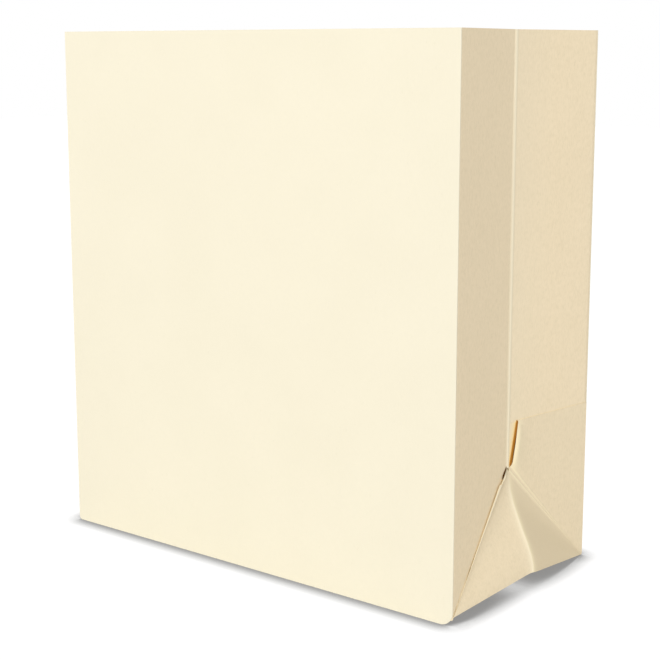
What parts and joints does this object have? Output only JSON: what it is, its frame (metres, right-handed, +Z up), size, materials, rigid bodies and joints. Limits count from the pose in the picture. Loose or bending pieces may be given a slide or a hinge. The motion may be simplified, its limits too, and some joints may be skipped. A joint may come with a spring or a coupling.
{
  "type": "expanding file jacket",
  "caption": "Open-topped manila paper jacket that stands upright, with flat panels joined by folded side and bottom gussets that expand and fold flat.",
  "frame": {"origin": "middle of the footprint, on the table that the jacket stands on", "axes": "+X across the panels to the right seen from the front, +Y from front to back, +Z up"},
  "size_m": [0.271, 0.1274, 0.279],
  "materials": {
    "panel_stock": "matte manila",
    "gusset_stock": "matte manila",
    "corner_stock": "matte manila"
  },
  "bodies": {
    "back": {"back_panel": "panel_stock", "right_side_rear_flap": "gusset_stock", "left_side_rear_flap": "gusset_stock", "bottom_rear_flap": "gusset_stock"},
    "front": {"front_panel": "panel_stock", "right_side_front_flap": "gusset_stock", "left_side_front_flap": "gusset_stock", "bottom_front_flap": "gusset_stock"},
    "right_rear": {"right_side_rear_half": "gusset_stock", "right_corner_tab": "corner_stock"},
    "right_front": {"right_side_front_half": "gusset_stock"},
    "left_rear": {"left_side_rear_half": "gusset_stock", "left_corner_tab": "corner_stock"},
    "left_front": {"left_side_front_half": "gusset_stock"},
    "bottom_rear": {"bottom_rear_half": "gusset_stock"},
    "bottom_front": {"bottom_front_half": "gusset_stock"},
    "right_rear_corner": {"right_rear_triangle": "corner_stock"},
    "right_front_corner": {"right_front_triangle": "corner_stock"},
    "left_rear_corner": {"left_rear_triangle": "corner_stock"},
    "left_front_corner": {"left_front_triangle": "corner_stock"}
  },
  "joints": [
    {"name": "right_rear_crease", "type": "hinge", "parent": "back", "child": "right_rear", "pos_m": [0.12905, 0.06279, 0.1395], "axis": [0, 0, -1], "range_deg": [-9, 63]},
    {"name": "right_centre_crease", "type": "hinge", "parent": "right_rear", "child": "right_front", "pos_m": [0.11956, 0, 0.1395], "axis": [0, 0, -1], "range_deg": [-126, 18]},
    {"name": "right_front_crease", "type": "hinge", "parent": "right_front", "child": "front", "pos_m": [0.12905, -0.06279, 0.1395], "axis": [0, 0, -1], "range_deg": [-9, 63]},
    {"name": "left_rear_crease", "type": "hinge", "parent": "back", "child": "left_rear", "pos_m": [-0.12905, 0.06279, 0.1395], "axis": [0, 0, 1], "range_deg": [-9, 63]},
    {"name": "left_centre_crease", "type": "hinge", "parent": "left_rear", "child": "left_front", "pos_m": [-0.11956, 0, 0.1395], "axis": [0, 0, 1], "range_deg": [-126, 18]},
    {"name": "bottom_rear_crease", "type": "hinge", "parent": "back", "child": "bottom_rear", "pos_m": [0, 0.06279, 0.00075], "axis": [-1, 0, 0], "range_deg": [-9, 63]},
    {"name": "bottom_centre_crease", "type": "hinge", "parent": "bottom_rear", "child": "bottom_front", "pos_m": [0, 0, 0.01024], "axis": [-1, 0, 0], "range_deg": [-126, 18]},
    {"name": "right_rear_mitre", "type": "hinge", "parent": "right_rear", "child": "right_rear_corner", "pos_m": [0.12994, 0.06265, 0.00325], "axis": [-0.1106, -0.6984, 0.7071], "range_deg": [-21.6, 151.2]},
    {"name": "right_front_mitre", "type": "hinge", "parent": "right_front", "child": "right_front_corner", "pos_m": [0.12994, -0.06265, 0.00325], "axis": [0.1106, -0.6984, -0.7071], "range_deg": [-21.6, 151.2]},
    {"name": "left_rear_mitre", "type": "hinge", "parent": "left_rear", "child": "left_rear_corner", "pos_m": [-0.12994, 0.06265, 0.00325], "axis": [-0.1106, 0.6984, -0.7071], "range_deg": [-21.6, 151.2]},
    {"name": "left_front_mitre", "type": "hinge", "parent": "left_front", "child": "left_front_corner", "pos_m": [-0.12994, -0.06265, 0.00325], "axis": [0.1106, 0.6984, 0.7071], "range_deg": [-21.6, 151.2]}
  ],
  "couplings": [
    {"joint": "right_centre_crease", "follows": "right_rear_crease", "ratio": -2},
    {"joint": "right_front_crease", "follows": "right_rear_crease", "ratio": 1},
    {"joint": "left_rear_crease", "follows": "right_rear_crease", "ratio": 1},
    {"joint": "left_centre_crease", "follows": "right_rear_crease", "ratio": -2},
    {"joint": "bottom_rear_crease", "follows": "right_rear_crease", "ratio": 1},
    {"joint": "bottom_centre_crease", "follows": "right_rear_crease", "ratio": -2},
    {"joint": "right_rear_mitre", "follows": "right_rear_crease", "ratio": 2.4},
    {"joint": "right_front_mitre", "follows": "right_rear_crease", "ratio": 2.4},
    {"joint": "left_rear_mitre", "follows": "right_rear_crease", "ratio": 2.4},
    {"joint": "left_front_mitre", "follows": "right_rear_crease", "ratio": 2.4}
  ]
}
